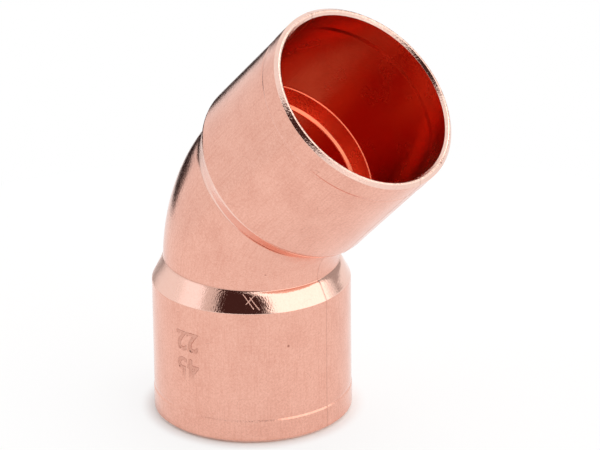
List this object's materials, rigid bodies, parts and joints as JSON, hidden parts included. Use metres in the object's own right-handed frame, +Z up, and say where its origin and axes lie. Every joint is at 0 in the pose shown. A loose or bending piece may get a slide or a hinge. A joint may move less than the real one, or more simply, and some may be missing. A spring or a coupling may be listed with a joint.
{
  "type": "pipe elbow",
  "caption": "45 degree solder elbow of drawn copper tube, with a wider socket at each end that takes a 22 mm pipe and stops it at the shoulder.",
  "frame": {"origin": "on the floor under the middle of the object's plan, with the elbow standing on its lower mouth", "axes": "+Z up along the lower socket, +X towards the side that the elbow bends to, +Y across the bend"},
  "size_m": [0.0388, 0.0242, 0.0525],
  "materials": {
    "copper": "satin bare copper, with rolled bands that shine more at the shoulders"
  },
  "bodies": {
    "root": {"elbow_body": "copper"}
  },
  "joints": []
}
